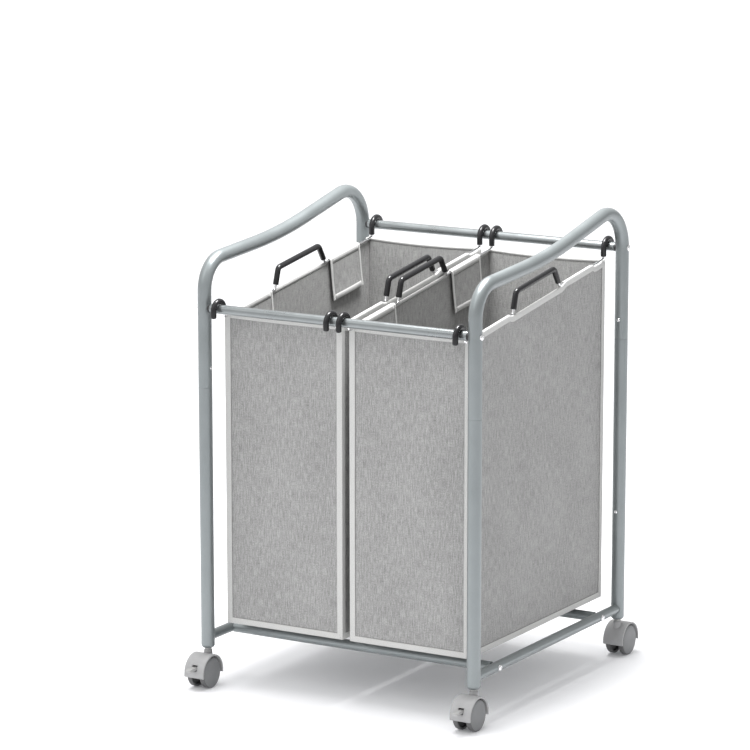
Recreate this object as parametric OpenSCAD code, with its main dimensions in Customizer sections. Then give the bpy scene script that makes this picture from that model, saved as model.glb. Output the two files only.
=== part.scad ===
// Laundry sorter on wheels: a bent-tube cart that carries hanging fabric bags.
// Millimetres, +Z up, floor at Z = 0, +X to the cart's right, -Y to its low front.

/* [Frame] */
// Distance between the left and right post axes
span_x = 488; // [484:2:560]
// Distance between the front and rear post axes
span_y = 490; // [470:2:540]
// Outside diameter of the posts and the bent handles
post_d = 22; // [20:0.5:24]
// Wall thickness of every tube
tube_wall = 1.2; // [1:0.1:1.5]
// Diameter of the low side rails and the two cross-bars
rail_d = 16; // [14:0.5:18]
// Height of the low rails above the posts' bottoms
rail_rise = 18; // [15:1:30]
// Distance of each cross-bar from the cart's middle
cross_y = 175; // [150:5:190]
// Diameter of the two top bars
bar_d = 15; // [13:0.5:16]
// Height of the front top bar above the posts' bottoms
front_bar_rise = 554; // [530:2:560]
// Height of the rear top bar above the posts' bottoms
rear_bar_rise = 621; // [600:2:630]

/* [Handles] */
// Height above the posts' bottoms where the front bend starts
front_bend_rise = 580; // [570:1:590]
// Radius of the front bend
front_bend_r = 50; // [45:1:60]
// Slope of the handle after the front bend, in degrees
slope_low = 3.6; // [2:0.2:5]
// Length of the gently sloped stretch
low_run = 100; // [80:5:110]
// Radius of the upward sweep
sweep_r = 1075; // [900:25:1200]
// Slope of the handle before the rear bend, in degrees
slope_high = 12.1; // [10:0.1:13]
// Radius of the rear bend
rear_bend_r = 62.5; // [55:0.5:70]

/* [Casters] */
// Diameter of each caster wheel
wheel_d = 50; // [46:1:52]
// Distance from the swivel axis to the wheel axle
trail = 13.5; // [12:0.5:15]
// Height of the posts' bottoms above the floor
caster_height = 62.5; // [62.5:0.5:66]
// Length of the brake lever outside the hood
lever_reach = 16; // [12:1:18]

/* [Bags] */
// Width of one bag, outside
bag_width = 213.5; // [190:0.5:214]
// Depth of one bag, outside
bag_depth = 446; // [430:1:448]
// Height of the bags' undersides above the posts' bottoms
bag_bottom_rise = 39; // [36:1:60]
// Sideways distance of each bag's middle from the cart's middle
bag_offset = 114.5; // [112:0.5:115]
// Thickness of the fabric walls
cloth = 1; // [0.8:0.1:1]
// Width of the binding tape
tape_w = 9.5; // [7:0.5:12]
// Length of each fold-over flap along the wire
flap_length = 96; // [80:2:100]
// Depth of each fold-over flap below the wire
flap_drop = 69; // [50:1:80]

/* [Hidden] */
$fn = 96;

steel_grey = [0.60, 0.64, 0.65];
plastic_grey = [0.66, 0.66, 0.68];
bright = [0.85, 0.85, 0.86];
black = [0.10, 0.10, 0.11];
grey_cloth = [0.62, 0.62, 0.62];
tape_grey = [0.82, 0.82, 0.81];

LEFT = -1;
RIGHT = 1;
FRONT = -1;
REAR = 1;
eps = 0.02;
over = 1;
lap = 0.2;
slim = 0.0125;
hair = 0.001;

// The lever tips reach further forward than anything reaches back
y_shift = lever_reach / 2;
post_r = post_d / 2;
rail_r = rail_d / 2;
bar_r = bar_d / 2;
foot_z = caster_height;
rail_z = foot_z + rail_rise;
front_bar_z = foot_z + front_bar_rise;
rear_bar_z = foot_z + rear_bar_rise;

// Handle path
bend_1 = 90 - slope_low;
bend_2 = slope_high - slope_low;
bend_3 = 90 + slope_high;
bend_1_y = front_bend_r * (1 - sin(slope_low));
sweep_y = sweep_r * (sin(slope_high) - sin(slope_low));
bend_3_y = rear_bend_r * (1 + sin(slope_high));
high_run = (span_y - bend_1_y - low_run * cos(slope_low) - sweep_y - bend_3_y) / cos(slope_high);
bend_1_z = foot_z + front_bend_rise + front_bend_r * cos(slope_low);
sweep_z = bend_1_z + low_run * sin(slope_low) + sweep_r * (cos(slope_low) - cos(slope_high));
handle_end_z = sweep_z + high_run * sin(slope_high) - rear_bend_r * cos(slope_high);

// Tube joints: the lower post's spigot runs up inside the handle tube
front_seam_z = foot_z + 427;
rear_seam_z = foot_z + 472;
seam_to_screw = 31;
low_screw_z = foot_z + 183;
spigot_up = 45;
spigot_down = 8;
spigot_gap = 0.05;
spigot_r = post_r - tube_wall - spigot_gap;

// Swaged foot of each post
foot_taper = 3.5;
foot_r = 7.6;

// Bolts with domed heads
head_r = 4.75;
head_h = 2.6;
shank_r = 2.9;
bolt_hole_r = 3.1;
small_head_r = 2.7;
small_head_h = 1.7;
small_shank_r = 1.7;
small_hole_r = 1.8;
plug_len = 22;
plug_flange = 1.5;
plug_flange_r = bar_r - 0.5;

// Caster
wheel_r = wheel_d / 2;
stem_r = 4;
stem_bore_r = 4.06;
stem_bottom_z = 30;
stem_top_z = foot_z + 30;
collar_r = 5.6;
collar_h = 3;
collar_gap = 0.2;
socket_top_z = foot_z + 38;
boss_r = 6.75;
boss_top_z = foot_z - collar_h - 2 * collar_gap;
boss_bottom_z = 24;
hood_gap = 2.2;
hood_wall = 2.8;
hood_half = 18;
hood_in_r = wheel_r + hood_gap;
hood_out_r = hood_in_r + hood_wall;
hood_cut_z = wheel_r - 4.5;
web_half = 3.5;
axle_boss_r = 7;
axle_r = 3;
axle_bore_r = 3.05;
axle_half = 13.6;
tread_in = 7.6;
tread_out = 16.4;
rim_in_r = wheel_r - 3.5;
cap_r = wheel_r * 0.89;
cap_out = 16.9;
disc_in = 14;
hub_in = 4.2;
hub_r = 5.4;
bore_end = 13.8;
rim_chamfer = 1;

// Brake lever, in the caster's own frame
lever_z = wheel_r + 11;
lever_t = 4.8;
lever_half = 4.5;
lever_pivot_y = -trail - 21.5;
lever_in_y = -trail - 14.5;
lever_tip_y = -trail - hood_out_r - lever_reach;
lever_rib_y = -trail - hood_out_r - 0.5;
lever_rib_count = 5;
lever_rib_step = 1.9;
lever_rib_w = 1;
lever_rib_h = 0.6;
trunnion_r = 1.6;
trunnion_bore_r = 1.66;
cheek_in = 4.8;
cheek_out = 6.8;
slot_low = 4.8;
slot_high = 5;

// Bags: the wire line is parallel to the line between the two top bars
wire_r = 2;
coat_r = 4.7;
coat_bore_r = 2.03;
hook_gap = 0.15;
hook_r = 15;
// how far the hook's arc is centred below the bar's own axis
hook_low = hook_r - bar_r - coat_r - hook_gap;
front_hook_drop = 9.5;
rear_hook_drop = 6;
wire_slope = atan((rear_bar_z - front_bar_z) / span_y);
wire_mid_z = (front_bar_z + rear_bar_z) / 2 - 17.5;
wire_bend_r = 5;
wire_inset = 3.6;
tip_cap = 1.3;
leg_y = span_y / 2 - hook_r;
front_corner_z = wire_mid_z - leg_y * tan(wire_slope);
rear_corner_z = wire_mid_z + leg_y * tan(wire_slope);
front_turn = 90 + wire_slope;
rear_turn = 90 - wire_slope;
front_cut = wire_bend_r * tan(front_turn / 2);
rear_cut = wire_bend_r * tan(rear_turn / 2);
front_leg = front_bar_z - hook_low - front_corner_z - front_cut;
rear_leg = rear_bar_z - hook_low - rear_corner_z - rear_cut;
wire_half = leg_y / cos(wire_slope);
grip_rise = 33;
grip_top_half = 63;
grip_base_half = 78.5;
grip_corner_r = 9;
grip_turn = atan(grip_rise / (grip_base_half - grip_top_half));
grip_leg = grip_rise / sin(grip_turn);
base_cut = wire_bend_r * tan(grip_turn / 2);
top_cut = grip_corner_r * tan(grip_turn / 2);
grip_leg_run = grip_leg - base_cut - top_cut;
bare_leg = 5;
front_run = wire_half - front_cut - grip_base_half - base_cut;
rear_run = wire_half - rear_cut - grip_base_half - base_cut;
fold_over = wire_r + cloth + 0.1;
bag_bottom_z = foot_z + bag_bottom_rise;
tape_t = 0.6;
flap_near = 91;
fold_in = 2 * wire_r + 2.2;
// the front wall hangs a little behind the wires' ends
bag_back = 3.5;
slot_half = 2.3;

// ---- helpers -------------------------------------------------------------

// The row's origin is under the middle of the whole cart, levers included
module placed() {
  translate([0, y_shift, 0])
    children();
}

module ring(r, bore) {
  difference() {
    circle(r = r);
    circle(r = bore);
  }
}

// A straight piece of tube along the travel direction, then whatever follows.
// It is a share thinner in the wall than the bends and runs a little way into them, so each
// joint makes one solid.
module run(r, bore, l, before = lap, after = lap, thin = slim) {
  translate([0, 0, -before])
    rotate([0, 0, -90])
      linear_extrude(height = l + before + after)
        ring(r * (1 - thin), bore * (1 + thin));
  translate([0, 0, l])
    children();
}

module rod(r, l, before = lap, after = lap) {
  translate([0, 0, -before])
    rotate([0, 0, -90])
      cylinder(r = r * (1 - slim), h = l + before + after);
  translate([0, 0, l])
    children();
}

module skip_run(l) {
  translate([0, 0, l])
    children();
}

// Turns lie in the YZ plane; side is 1 towards local +Y and -1 towards local -Y
module turn_place(bend_r, angle, side) {
  translate([0, side * bend_r, 0])
    rotate([-side * angle, 0, 0])
      translate([0, -side * bend_r, 0])
        children();
}

module turn_sweep(bend_r, angle, side) {
  mirror([0, side > 0 ? 0 : 1, 0])
    translate([0, bend_r, 0])
      rotate([90, 0, -90])
        rotate_extrude(angle = angle)
          translate([bend_r, 0])
            rotate(side > 0 ? 0 : 180)
              children();
}

module tube_turn(r, bore, bend_r, angle, side) {
  turn_sweep(bend_r, angle, side)
    ring(r, bore);
  turn_place(bend_r, angle, side)
    children();
}

module rod_turn(r, bend_r, angle, side) {
  turn_sweep(bend_r, angle, side)
    circle(r = r);
  turn_place(bend_r, angle, side)
    children();
}

module along_x(r, x0, x1) {
  translate([x0, 0, 0])
    rotate([0, 90, 0])
      cylinder(r = r, h = x1 - x0);
}

// A domed head on a round bar; local +X points out of the bar, the bar runs along Z
module domed_bolt(seat_r, r, h, shank, shank_len) {
  rim = 0.25 * h;
  dome = h - rim;
  ball = (dome * dome + r * r) / (2 * dome);
  difference() {
    intersection() {
      translate([seat_r + h - ball, 0, 0])
        rotate([0, 90, 0])
          sphere(r = ball);
      along_x(r, seat_r - 2, seat_r + h + over);
    }
    cylinder(r = seat_r, h = 4 * r, center = true);
  }
  along_x(shank, seat_r - shank_len, seat_r + rim / 2);
}

module corners() {
  for (sx = [LEFT, RIGHT], sy = [FRONT, REAR])
    translate([sx * span_x / 2, sy * span_y / 2, 0])
      children();
}

// ---- frame ---------------------------------------------------------------

module screw_holes(side) {
  x = side * span_x / 2;
  translate([x, -span_y / 2, front_seam_z + seam_to_screw])
    rotate([0, 0, side > 0 ? 180 : 0])
      along_x(small_hole_r, 0, post_d);
  for (z = [low_screw_z, rear_seam_z + seam_to_screw])
    translate([x, span_y / 2, z])
      rotate([0, 0, -90])
        along_x(small_hole_r, 0, post_d);
}

module bar_bolt_hole(sy, z) {
  translate([0, sy * span_y / 2, z])
    along_x(bolt_hole_r, -span_x, span_x);
}

module handle(side) {
  r = post_r;
  b = post_r - tube_wall;
  difference() {
    union() {
      translate([side * span_x / 2, -span_y / 2, front_seam_z])
        run(r, b, foot_z + front_bend_rise - front_seam_z, 0, lap, hair)
          tube_turn(r, b, front_bend_r, bend_1, 1)
            run(r, b, low_run)
              tube_turn(r, b, sweep_r, bend_2, -1)
                run(r, b, high_run);
      translate([side * span_x / 2, span_y / 2, rear_seam_z])
        run(r, b, handle_end_z - rear_seam_z, 0, lap, hair)
          tube_turn(r, b, rear_bend_r, bend_3, -1);
    }
    bar_bolt_hole(FRONT, front_bar_z);
    bar_bolt_hole(REAR, rear_bar_z);
    screw_holes(side);
  }
}

module post(side, sy, seam) {
  b = post_r - tube_wall;
  difference() {
    translate([side * span_x / 2, sy * span_y / 2, 0])
      difference() {
        union() {
          translate([0, 0, foot_z])
            cylinder(r1 = foot_r, r2 = post_r, h = foot_taper);
          translate([0, 0, foot_z + foot_taper])
            cylinder(r = post_r, h = seam - foot_z - foot_taper);
          translate([0, 0, seam])
            cylinder(r = spigot_r, h = spigot_up);
        }
        translate([0, 0, foot_z - over])
          cylinder(r = foot_r - tube_wall, h = foot_taper + 2 * over);
        translate([0, 0, foot_z + foot_taper + over])
          cylinder(r = b, h = seam - spigot_down - foot_z - foot_taper - over);
        translate([0, 0, seam - spigot_down - over])
          cylinder(r = spigot_r - tube_wall, h = spigot_up + spigot_down + 2 * over);
      }
    screw_holes(side);
  }
}

module rail(side) {
  difference() {
    translate([side * span_x / 2, 0, rail_z])
      rotate([90, 0, 0])
        linear_extrude(height = span_y, center = true)
          ring(rail_r, rail_r - tube_wall);
    for (sy = [FRONT, REAR]) {
      translate([side * span_x / 2, sy * span_y / 2, foot_z])
        cylinder(r = post_r, h = 2 * rail_rise);
      translate([0, sy * cross_y, rail_z])
        along_x(bolt_hole_r, -span_x, span_x);
    }
  }
}

// Each top bar stops short of the posts; a dark plug closes each end
bar_end = span_x / 2 - post_r - plug_flange;

module top_bar(sy, z) {
  translate([0, sy * span_y / 2, z])
    rotate([0, 90, 0])
      linear_extrude(height = 2 * bar_end, center = true)
        ring(bar_r, bar_r - tube_wall);
}

module top_bar_plug(side, sy, z) {
  translate([0, sy * span_y / 2, z])
    mirror([side > 0 ? 0 : 1, 0, 0])
      difference() {
        union() {
          along_x(plug_flange_r, bar_end, span_x / 2);
          along_x(bar_r - tube_wall, bar_end - plug_len, bar_end);
        }
        along_x(bolt_hole_r, bar_end - plug_len - over, span_x);
        translate([span_x / 2, 0, 0])
          cylinder(r = post_r, h = post_d, center = true);
      }
}

module cross_bar(sy) {
  difference() {
    translate([0, sy * cross_y, rail_z])
      rotate([0, 90, 0])
        linear_extrude(height = span_x - rail_r, center = true)
          ring(rail_r, rail_r - tube_wall);
    for (side = [LEFT, RIGHT])
      translate([side * span_x / 2, sy * cross_y, rail_z])
        rotate([90, 0, 0])
          cylinder(r = rail_r, h = 4 * rail_d, center = true);
  }
}

module cross_bar_plug(side, sy) {
  plug_end = span_x / 2 - rail_r - 1;
  translate([0, sy * cross_y, rail_z])
    mirror([side > 0 ? 0 : 1, 0, 0])
      difference() {
        along_x(rail_r - tube_wall, plug_end - plug_len, plug_end);
        along_x(shank_r, plug_end - plug_len - over, plug_end + over);
      }
}

module top_bolt(side, sy, z) {
  translate([side * span_x / 2, sy * span_y / 2, z])
    mirror([side > 0 ? 0 : 1, 0, 0])
      domed_bolt(post_r, head_r, head_h, shank_r, post_d + plug_flange + plug_len - 4);
}

module cross_bolt(side, sy) {
  translate([side * span_x / 2, sy * cross_y, rail_z])
    mirror([side > 0 ? 0 : 1, 0, 0])
      rotate([90, 0, 0])
        domed_bolt(rail_r, head_r, head_h, shank_r, rail_d + plug_len - 4);
}

module joint_screw() {
  domed_bolt(post_r, small_head_r, small_head_h, small_shank_r, 4);
}

module joint_screw_set() {
  for (side = [LEFT, RIGHT]) {
    translate([side * span_x / 2, -span_y / 2, front_seam_z + seam_to_screw])
      rotate([0, 0, side > 0 ? 180 : 0])
        joint_screw();
    for (z = [low_screw_z, rear_seam_z + seam_to_screw])
      translate([side * span_x / 2, span_y / 2, z])
        rotate([0, 0, -90])
          joint_screw();
  }
}

module caster_socket() {
  neck_top = foot_z + foot_taper + over;
  difference() {
    union() {
      translate([0, 0, foot_z + eps])
        cylinder(r = foot_r - tube_wall, h = neck_top - foot_z);
      translate([0, 0, neck_top + eps])
        cylinder(r = post_r - tube_wall, h = socket_top_z - neck_top);
    }
    translate([0, 0, foot_z - over])
      cylinder(r = stem_r, h = socket_top_z);
  }
}

// ---- casters: local origin on the floor under the stem, wheels towards -Y --

module caster_place(side, sy) {
  placed()
    translate([side * span_x / 2, sy * span_y / 2, 0])
      rotate([0, 0, sy > 0 ? 180 : 0])
        children();
}

module stem() {
  translate([0, 0, stem_bottom_z])
    cylinder(r = stem_r, h = stem_top_z - stem_bottom_z);
  translate([0, 0, foot_z - collar_gap - collar_h])
    cylinder(r = collar_r, h = collar_h);
}

module at_axle() {
  translate([0, -trail, wheel_r])
    children();
}

module hood(has_lever) {
  difference() {
    union() {
      difference() {
        union() {
          at_axle()
            difference() {
              along_x(hood_out_r, -hood_half, hood_half);
              along_x(hood_in_r, -hood_half - over, hood_half + over);
            }
          at_axle()
            along_x(hood_in_r + over, -web_half, web_half);
        }
        translate([-hood_half - over, -trail - hood_out_r - over, hood_cut_z - hood_out_r])
          cube([2 * hood_half + 2 * over, 2 * hood_out_r + 2 * over, hood_out_r]);
        if (has_lever)
          translate([-lever_half - 0.3, -trail - hood_out_r - over, lever_z - slot_low])
            cube([2 * lever_half + 0.6, hood_out_r - 11.5, slot_low + slot_high]);
      }
      at_axle()
        along_x(axle_boss_r, -web_half, web_half);
      translate([0, 0, boss_bottom_z])
        cylinder(r = boss_r, h = boss_top_z - boss_bottom_z);
      if (has_lever)
        for (side = [LEFT, RIGHT])
          lever_cheek(side);
    }
    at_axle()
      along_x(axle_r, -hood_half, hood_half);
    translate([0, 0, stem_bottom_z - over])
      cylinder(r = stem_bore_r, h = boss_top_z);
  }
}

module lever_cheek(side) {
  mirror([side > 0 ? 0 : 1, 0, 0])
    difference() {
      intersection() {
        at_axle()
          along_x(hood_in_r + 1, cheek_in, cheek_out);
        translate([0, -trail - hood_out_r, lever_z - slot_low])
          cube([hood_half, 12, slot_low + slot_high]);
      }
      translate([0, lever_pivot_y, lever_z])
        along_x(trunnion_bore_r, cheek_in - over, cheek_out + over);
    }
}

module axle() {
  at_axle()
    along_x(axle_r, -axle_half, axle_half);
}

module wheel(side) {
  at_axle()
    mirror([side > 0 ? 0 : 1, 0, 0])
      difference() {
        union() {
          along_x(wheel_r, tread_in, tread_out - rim_chamfer);
          translate([tread_out - rim_chamfer, 0, 0])
            rotate([0, 90, 0])
              cylinder(r1 = wheel_r, r2 = wheel_r - rim_chamfer, h = rim_chamfer);
          along_x(cap_r, disc_in, cap_out);
          along_x(hub_r, hub_in, disc_in);
        }
        difference() {
          along_x(rim_in_r, tread_in - over, disc_in);
          along_x(hub_r, hub_in - over, disc_in + over);
        }
        along_x(axle_bore_r, hub_in - over, bore_end);
      }
}

module brake_lever() {
  difference() {
    union() {
      translate([-lever_half, lever_tip_y + lever_t / 2, lever_z - lever_t / 2])
        cube([2 * lever_half, lever_in_y - lever_tip_y - lever_t / 2, lever_t]);
      translate([0, lever_tip_y + lever_t / 2, lever_z])
        along_x(lever_t / 2, -lever_half, lever_half);
      translate([0, lever_pivot_y, lever_z])
        along_x(trunnion_r, -cheek_out + 0.1, cheek_out - 0.1);
      for (i = [0 : lever_rib_count - 1])
        translate([-lever_half, lever_rib_y - i * lever_rib_step - lever_rib_w, lever_z])
          cube([2 * lever_half, lever_rib_w, lever_t / 2 + lever_rib_h]);
    }
    // relief so the lever's root clears the hood wall as it swings
    translate([-lever_half - over, -trail - hood_in_r, lever_z + lever_t / 2 - 0.3])
      cube([2 * lever_half + 2 * over, 4, over]);
  }
}

// ---- bags: local origin on the floor under the bag's middle ----------------

half_w = bag_width / 2;
half_d = bag_depth / 2;
front_wall_y = bag_back - half_d;
rear_wall_y = bag_back + half_d;
wire_x = half_w - wire_inset;

function wire_z(y) = wire_mid_z + y * tan(wire_slope);

function top_z(y) = wire_z(y) + fold_over / cos(wire_slope);

module bag_place(side) {
  placed()
    translate([side * bag_offset, 0, 0])
      children();
}

// A block with the bag's sloping top, grown by g outwards and by up at the top
module bag_block(g, bottom_z, up) {
  near = front_wall_y - g;
  far = rear_wall_y + g;
  rotate([90, 0, 90])
    linear_extrude(height = bag_width + 2 * g, center = true)
      polygon([
        [near, bottom_z],
        [far, bottom_z],
        [far, top_z(far) + up],
        [near, top_z(near) + up]
      ]);
}

// The wire's notch through the tops of the front and rear walls
module wire_notches() {
  for (side = [LEFT, RIGHT], wall_y = [front_wall_y, rear_wall_y])
    translate([side * wire_x, wall_y, wire_z(wall_y) - slot_half])
      rotate([wire_slope, 0, 0])
        translate([-slot_half, -6, 0])
          cube([2 * slot_half, 12, 20]);
}

module bag_shell() {
  difference() {
    bag_block(0, bag_bottom_z, 0);
    bag_block(-cloth, bag_bottom_z + cloth, over);
    wire_notches();
  }
}

// Strips of tape around the four walls and the bottom, on the outside
module bag_binding() {
  low = bag_bottom_z - tape_t + tape_w;
  difference() {
    bag_block(tape_t, bag_bottom_z - tape_t, 0);
    bag_block(0, bag_bottom_z, over);
    wire_notches();
    // windows in the side walls
    rotate([90, 0, 90])
      linear_extrude(height = 2 * bag_width, center = true)
        polygon([
          [front_wall_y + tape_w, low],
          [rear_wall_y - tape_w, low],
          [rear_wall_y - tape_w, top_z(rear_wall_y - tape_w) - tape_w],
          [front_wall_y + tape_w, top_z(front_wall_y + tape_w) - tape_w]
        ]);
    // windows in the front and rear walls
    for (wall_y = [front_wall_y, rear_wall_y])
      translate([-half_w + tape_w, wall_y - 5, low])
        cube([bag_width - 2 * tape_w, 10, top_z(wall_y) - tape_w - low]);
    // window in the bottom
    translate([-half_w + tape_w, front_wall_y + tape_w, bag_bottom_z - 5])
      cube([bag_width - 2 * tape_w, bag_depth - 2 * tape_w, 10]);
  }
}

// One flap folded over the wire to the inside; s runs along the wire
module flap(s) {
  translate([0, 0, wire_mid_z])
    rotate([90 + wire_slope, 0, 0])
      translate([half_w - cloth - eps, 0, -s])
        linear_extrude(height = flap_length, center = true)
          union() {
            translate([-fold_in, -flap_drop])
              square([cloth, flap_drop + fold_over - cloth]);
            translate([-fold_in + cloth, fold_over - cloth])
              square([fold_in - cloth, cloth]);
            intersection() {
              translate([-fold_in + cloth, fold_over - cloth])
                circle(r = cloth);
              translate([-fold_in, fold_over - cloth])
                square([cloth, cloth]);
            }
          }
}

module bag_flaps() {
  flap_mid = flap_near + flap_length / 2;
  for (side = [LEFT, RIGHT], sy = [FRONT, REAR])
    mirror([side > 0 ? 0 : 1, 0, 0])
      flap(sy * flap_mid);
}

module wire_start(side) {
  translate([side * wire_x, -span_y / 2 - hook_r, front_bar_z - hook_low - front_hook_drop])
    children();
}

module wire(side) {
  w = wire_r;
  wire_start(side)
    rod(w, front_hook_drop, 0)
      rod_turn(w, hook_r, 180, 1)
        rod(w, front_leg)
          rod_turn(w, wire_bend_r, front_turn, -1)
            rod(w, front_run)
              rod_turn(w, wire_bend_r, grip_turn, -1)
                rod(w, grip_leg_run)
                  rod_turn(w, grip_corner_r, grip_turn, 1)
                    rod(w, 2 * grip_top_half - 2 * top_cut)
                      rod_turn(w, grip_corner_r, grip_turn, 1)
                        rod(w, grip_leg_run)
                          rod_turn(w, wire_bend_r, grip_turn, -1)
                            rod(w, rear_run)
                              wire_rear_end(w);
}

module wire_rear_end(w) {
  rod_turn(w, wire_bend_r, rear_turn, -1)
    rod(w, rear_leg)
      rod_turn(w, hook_r, 180, 1)
        rod(w, rear_hook_drop, lap, 0);
}

// Soft black tube over the wire's raised middle
module grip(side) {
  w = coat_r;
  b = coat_bore_r;
  coated = grip_leg_run - bare_leg;
  translate([side * wire_x, 0, wire_mid_z])
    rotate([wire_slope, 0, 0])
      translate([0, -grip_base_half, 0])
        rotate([grip_turn - 90, 0, 0])
          skip_run(base_cut + bare_leg)
            run(w, b, coated, 0)
              tube_turn(w, b, grip_corner_r, grip_turn, 1)
                run(w, b, 2 * grip_top_half - 2 * top_cut)
                  tube_turn(w, b, grip_corner_r, grip_turn, 1)
                    run(w, b, coated, lap, 0);
}

// Soft black sleeve over one end hook, closed at its tip
module hook_sleeve(side, y, z, sense, drop, leg) {
  w = coat_r;
  b = coat_bore_r;
  translate([side * wire_x, y, z])
    mirror([0, sense > 0 ? 0 : 1, 0])
      translate([0, -hook_r, -hook_low - drop - tip_cap]) {
        cylinder(r = w, h = tip_cap);
        skip_run(tip_cap)
          run(w, b, drop)
            tube_turn(w, b, hook_r, 180, 1)
              run(w, b, leg, lap, 0);
      }
}

module bag_hooks() {
  for (side = [LEFT, RIGHT]) {
    hook_sleeve(side, -span_y / 2, front_bar_z, 1, front_hook_drop, front_leg);
    hook_sleeve(side, span_y / 2, rear_bar_z, -1, rear_hook_drop, rear_leg);
  }
}

// ---- nodes -----------------------------------------------------------------

module handle_left() {
  color(steel_grey)
    placed()
      handle(LEFT);
}

module handle_right() {
  color(steel_grey)
    placed()
      handle(RIGHT);
}

module post_front_left() {
  color(steel_grey)
    placed()
      post(LEFT, FRONT, front_seam_z);
}

module post_front_right() {
  color(steel_grey)
    placed()
      post(RIGHT, FRONT, front_seam_z);
}

module post_rear_left() {
  color(steel_grey)
    placed()
      post(LEFT, REAR, rear_seam_z);
}

module post_rear_right() {
  color(steel_grey)
    placed()
      post(RIGHT, REAR, rear_seam_z);
}

module rail_left() {
  color(steel_grey)
    placed()
      rail(LEFT);
}

module rail_right() {
  color(steel_grey)
    placed()
      rail(RIGHT);
}

module top_bar_front() {
  color(steel_grey)
    placed()
      top_bar(FRONT, front_bar_z);
}

module top_bar_rear() {
  color(steel_grey)
    placed()
      top_bar(REAR, rear_bar_z);
}

module cross_bar_front() {
  color(steel_grey)
    placed()
      cross_bar(FRONT);
}

module cross_bar_rear() {
  color(steel_grey)
    placed()
      cross_bar(REAR);
}

module top_bar_plugs() {
  color(black)
    placed()
      for (side = [LEFT, RIGHT]) {
        top_bar_plug(side, FRONT, front_bar_z);
        top_bar_plug(side, REAR, rear_bar_z);
      }
}

module cross_bar_plugs() {
  color(black)
    placed()
      for (side = [LEFT, RIGHT], sy = [FRONT, REAR])
        cross_bar_plug(side, sy);
}

module top_bolts() {
  color(bright)
    placed()
      for (side = [LEFT, RIGHT]) {
        top_bolt(side, FRONT, front_bar_z);
        top_bolt(side, REAR, rear_bar_z);
      }
}

module cross_bolts() {
  color(bright)
    placed()
      for (side = [LEFT, RIGHT], sy = [FRONT, REAR])
        cross_bolt(side, sy);
}

module joint_screws() {
  color(bright)
    placed()
      joint_screw_set();
}

module caster_sockets() {
  color(black)
    placed()
      corners()
        caster_socket();
}

module stem_front_left() {
  color(bright)
    caster_place(LEFT, FRONT)
      stem();
}

module stem_front_right() {
  color(bright)
    caster_place(RIGHT, FRONT)
      stem();
}

module stem_rear_left() {
  color(bright)
    caster_place(LEFT, REAR)
      stem();
}

module stem_rear_right() {
  color(bright)
    caster_place(RIGHT, REAR)
      stem();
}

module hood_front_left() {
  color(plastic_grey)
    caster_place(LEFT, FRONT)
      hood(true);
}

module hood_front_right() {
  color(plastic_grey)
    caster_place(RIGHT, FRONT)
      hood(true);
}

module hood_rear_left() {
  color(plastic_grey)
    caster_place(LEFT, REAR)
      hood(false);
}

module hood_rear_right() {
  color(plastic_grey)
    caster_place(RIGHT, REAR)
      hood(false);
}

module axle_front_left() {
  color(bright)
    caster_place(LEFT, FRONT)
      axle();
}

module axle_front_right() {
  color(bright)
    caster_place(RIGHT, FRONT)
      axle();
}

module axle_rear_left() {
  color(bright)
    caster_place(LEFT, REAR)
      axle();
}

module axle_rear_right() {
  color(bright)
    caster_place(RIGHT, REAR)
      axle();
}

module wheel_fl_left() {
  color(plastic_grey)
    caster_place(LEFT, FRONT)
      wheel(LEFT);
}

module wheel_fl_right() {
  color(plastic_grey)
    caster_place(LEFT, FRONT)
      wheel(RIGHT);
}

module wheel_fr_left() {
  color(plastic_grey)
    caster_place(RIGHT, FRONT)
      wheel(LEFT);
}

module wheel_fr_right() {
  color(plastic_grey)
    caster_place(RIGHT, FRONT)
      wheel(RIGHT);
}

// The rear casters are turned half round, so their local sides swap
module wheel_rl_left() {
  color(plastic_grey)
    caster_place(LEFT, REAR)
      wheel(RIGHT);
}

module wheel_rl_right() {
  color(plastic_grey)
    caster_place(LEFT, REAR)
      wheel(LEFT);
}

module wheel_rr_left() {
  color(plastic_grey)
    caster_place(RIGHT, REAR)
      wheel(RIGHT);
}

module wheel_rr_right() {
  color(plastic_grey)
    caster_place(RIGHT, REAR)
      wheel(LEFT);
}

module brake_lever_left() {
  color(tape_grey)
    caster_place(LEFT, FRONT)
      brake_lever();
}

module brake_lever_right() {
  color(tape_grey)
    caster_place(RIGHT, FRONT)
      brake_lever();
}

module bag_left_shell() {
  color(grey_cloth)
    bag_place(LEFT)
      bag_shell();
}

module bag_left_binding() {
  color(tape_grey)
    bag_place(LEFT)
      bag_binding();
}

module bag_left_flaps() {
  color(grey_cloth)
    bag_place(LEFT)
      bag_flaps();
}

module bag_left_wire_outer() {
  color(bright)
    bag_place(LEFT)
      wire(LEFT);
}

module bag_left_wire_inner() {
  color(bright)
    bag_place(LEFT)
      wire(RIGHT);
}

module bag_left_grips() {
  color(black)
    bag_place(LEFT)
      for (side = [LEFT, RIGHT])
        grip(side);
}

module bag_left_hooks() {
  color(black)
    bag_place(LEFT)
      bag_hooks();
}

module bag_right_shell() {
  color(grey_cloth)
    bag_place(RIGHT)
      bag_shell();
}

module bag_right_binding() {
  color(tape_grey)
    bag_place(RIGHT)
      bag_binding();
}

module bag_right_flaps() {
  color(grey_cloth)
    bag_place(RIGHT)
      bag_flaps();
}

module bag_right_wire_outer() {
  color(bright)
    bag_place(RIGHT)
      wire(RIGHT);
}

module bag_right_wire_inner() {
  color(bright)
    bag_place(RIGHT)
      wire(LEFT);
}

module bag_right_grips() {
  color(black)
    bag_place(RIGHT)
      for (side = [LEFT, RIGHT])
        grip(side);
}

module bag_right_hooks() {
  color(black)
    bag_place(RIGHT)
      bag_hooks();
}

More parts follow.
